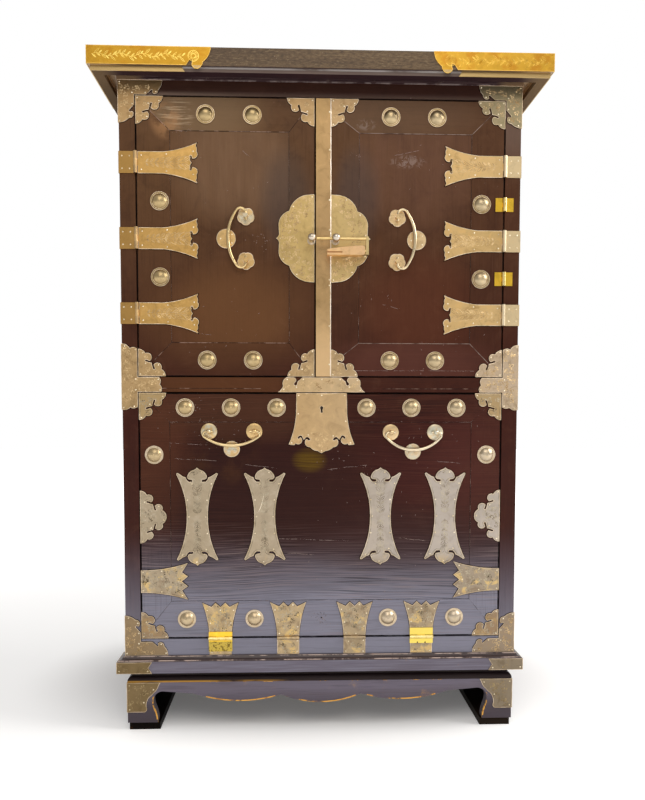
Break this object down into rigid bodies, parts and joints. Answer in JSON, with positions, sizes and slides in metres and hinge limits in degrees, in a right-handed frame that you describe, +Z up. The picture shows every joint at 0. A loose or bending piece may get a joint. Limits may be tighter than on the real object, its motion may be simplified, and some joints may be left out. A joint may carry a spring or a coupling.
{
  "type": "tiered storage chest",
  "caption": "Tall storage chest of lacquered wood on a low scalloped stand: hinged doors above, a drop-down front below, with brass mounts, bail pulls and a sliding bar padlock.",
  "frame": {"origin": "centre of the whole chest's footprint box, on the floor", "axes": "+X to the viewer's right, +Y from the front to the back, +Z up"},
  "size_m": [0.7304, 0.4202, 1.0955],
  "materials": {
    "lacquered_wood": "dark reddish-brown lacquer, worn gloss",
    "dark_wood": "near-black purple-brown lacquer",
    "stand_wood": "red-brown lacquer, worn to orange on the edges",
    "plain_wood": "unfinished timber",
    "gilt_brass": "bright golden, chased",
    "iron": "dull iron",
    "brass": "aged tan brass, chased"
  },
  "bodies": {
    "case": {"side_boards": "lacquered_wood", "front_stiles": "lacquered_wood", "lower_rail": "lacquered_wood", "middle_rail": "lacquered_wood", "top_rail": "lacquered_wood", "back_panel": "plain_wood", "bottom_board": "plain_wood", "middle_board": "plain_wood", "base_moulding": "dark_wood", "stand_neck": "stand_wood", "cornice": "dark_wood", "top_board": "lacquered_wood", "top_lip": "lacquered_wood", "stand_front": "stand_wood", "stand_back": "stand_wood", "stand_sides": "stand_wood", "stand_runners": "stand_wood", "stile_hinge_leaves": "brass", "frame_repair_leaves": "gilt_brass", "rail_hinge_leaves": "brass", "hinge_pins": "iron", "rail_cloud_plate": "brass", "frame_corner_plates": "brass", "base_corner_plates": "brass", "foot_plates": "brass", "top_corner_plates": "gilt_brass"},
    "left_door": {"left_door_frame": "lacquered_wood", "left_door_panel": "lacquered_wood", "left_door_corner_plates": "brass", "left_door_bosses": "brass", "left_door_hinge_straps": "brass", "left_lock_plate": "brass", "left_lock_post": "brass", "left_bail_mounts": "brass"},
    "right_door": {"right_door_frame": "lacquered_wood", "right_door_panel": "lacquered_wood", "meeting_strip": "brass", "right_door_corner_plates": "brass", "right_door_bosses": "brass", "right_door_hinge_straps": "brass", "right_door_repair_leaves": "gilt_brass", "right_lock_plate": "brass", "right_lock_post": "brass", "right_bail_mounts": "brass"},
    "drop_front": {"drop_front_frame": "lacquered_wood", "drop_front_panel": "lacquered_wood", "drop_front_plates": "brass", "drop_front_bosses": "brass", "drop_front_hinge_straps": "brass", "drop_front_repair_leaves": "gilt_brass", "keyhole_plate": "brass", "lock_case": "iron", "drop_front_bail_mounts": "brass"},
    "lock_bolt": {"lock_bolt": "iron"},
    "left_bail": {"left_bail": "brass"},
    "right_bail": {"right_bail": "brass"},
    "lower_left_bail": {"lower_left_bail": "brass"},
    "lower_right_bail": {"lower_right_bail": "brass"},
    "padlock": {"padlock_bar": "brass", "padlock_body": "brass"}
  },
  "joints": [
    {"name": "left_door_hinge", "type": "hinge", "parent": "case", "child": "left_door", "pos_m": [-0.2992, -0.1732, 0.813], "axis": [0, 0, -1], "range_deg": [0, 110]},
    {"name": "right_door_hinge", "type": "hinge", "parent": "case", "child": "right_door", "pos_m": [0.2992, -0.1732, 0.813], "axis": [0, 0, 1], "range_deg": [0, 110]},
    {"name": "drop_front_hinge", "type": "hinge", "parent": "case", "child": "drop_front", "pos_m": [0, -0.1732, 0.1553], "axis": [1, 0, 0], "range_deg": [0, 90]},
    {"name": "left_bail_swing", "type": "hinge", "parent": "left_door", "child": "left_bail", "pos_m": [-0.123, -0.1789, 0.812], "axis": [0, 0, 1], "range_deg": [-8, 160]},
    {"name": "right_bail_swing", "type": "hinge", "parent": "right_door", "child": "right_bail", "pos_m": [0.123, -0.1789, 0.812], "axis": [0, 0, -1], "range_deg": [-8, 160]},
    {"name": "lower_left_bail_swing", "type": "hinge", "parent": "drop_front", "child": "lower_left_bail", "pos_m": [-0.14781, -0.1789, 0.50001], "axis": [-1, 0, 0], "range_deg": [-10, 150]},
    {"name": "lower_right_bail_swing", "type": "hinge", "parent": "drop_front", "child": "lower_right_bail", "pos_m": [0.1515, -0.1789, 0.49849], "axis": [-1, 0, 0], "range_deg": [-8, 150]},
    {"name": "padlock_slide", "type": "slide", "parent": "right_door", "child": "padlock", "axis": [1, 0, 0], "range_m": [-0.028, 0.016]},
    {"name": "lock_bolt_slide", "type": "slide", "parent": "drop_front", "child": "lock_bolt", "axis": [0, 0, 1], "range_m": [0, 0.008]}
  ]
}
